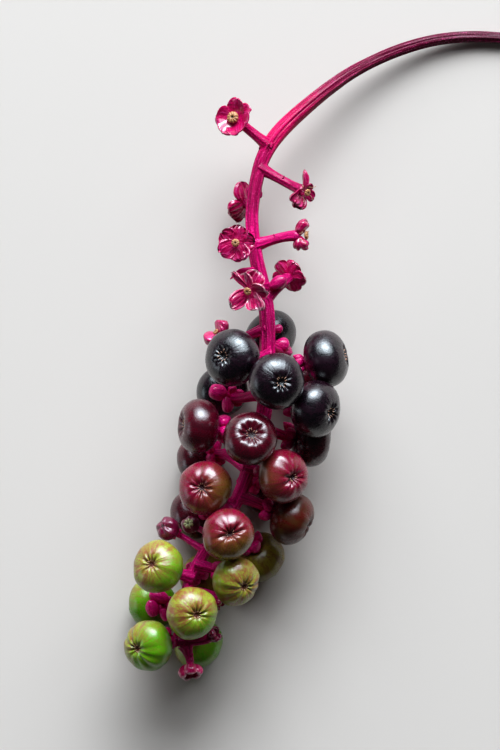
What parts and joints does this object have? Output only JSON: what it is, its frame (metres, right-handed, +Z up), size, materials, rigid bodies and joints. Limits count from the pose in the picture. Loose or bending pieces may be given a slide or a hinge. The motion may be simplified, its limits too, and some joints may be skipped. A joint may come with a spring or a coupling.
{
  "type": "pokeweed berry cluster",
  "caption": "Pokeweed cluster as picked and laid down: an arching magenta stalk with small flowers, then ripe black, ripening red and unripe green berries.",
  "frame": {"origin": "middle of the footprint, on the surface that the cluster lies on", "axes": "+X to the right of the lying cluster as seen from above with its cut end at the top, +Y towards the stalk's cut end, +Z up from the surface"},
  "size_m": [0.0719, 0.1174, 0.0273],
  "materials": {
    "stem": "satin, finely ridged magenta stalk",
    "sepals": "satin, folded magenta sepals",
    "ovary": "matte tan, dried",
    "black": "glossy ripe skin, blue-black",
    "maroon": "glossy ripening skin, dark maroon",
    "red": "glossy ripening skin, red",
    "russet": "glossy ripening skin, brown-red",
    "olive": "glossy unripe skin, olive",
    "green": "glossy unripe skin, yellow-green",
    "young": "satin, dark pink young fruit"
  },
  "bodies": {
    "root": {"berry_01": "black", "berry_02": "black", "berry_03": "black", "berry_04": "black", "berry_05": "black", "berry_06": "black", "berry_07": "maroon", "berry_08": "maroon", "berry_09": "maroon", "berry_10": "maroon", "berry_11": "maroon", "berry_12": "red", "berry_13": "red", "berry_14": "russet", "berry_15": "red", "berry_16": "olive", "berry_17": "green", "berry_18": "green", "berry_19": "green", "berry_20": "green", "berry_21": "green", "berry_22": "green", "berry_23": "maroon", "berry_24": "maroon", "berry_25": "olive", "flower_01_ovary": "ovary", "flower_01_sepals": "sepals", "flower_02_ovary": "ovary", "flower_02_sepals": "sepals", "flower_03_ovary": "ovary", "flower_03_sepals": "sepals", "flower_04_ovary": "ovary", "flower_04_sepals": "sepals", "flower_05_ovary": "ovary", "flower_05_sepals": "sepals", "flower_06_ovary": "ovary", "flower_06_sepals": "sepals", "flower_07_ovary": "ovary", "flower_07_sepals": "sepals", "flower_08_ovary": "ovary", "flower_08_sepals": "sepals", "flower_09_ovary": "ovary", "flower_09_sepals": "sepals", "flower_10_ovary": "ovary", "flower_10_sepals": "sepals", "flower_11_ovary": "ovary", "flower_11_sepals": "sepals", "stem": "stem", "young_fruit_01": "young", "young_fruit_02": "young"}
  },
  "joints": []
}
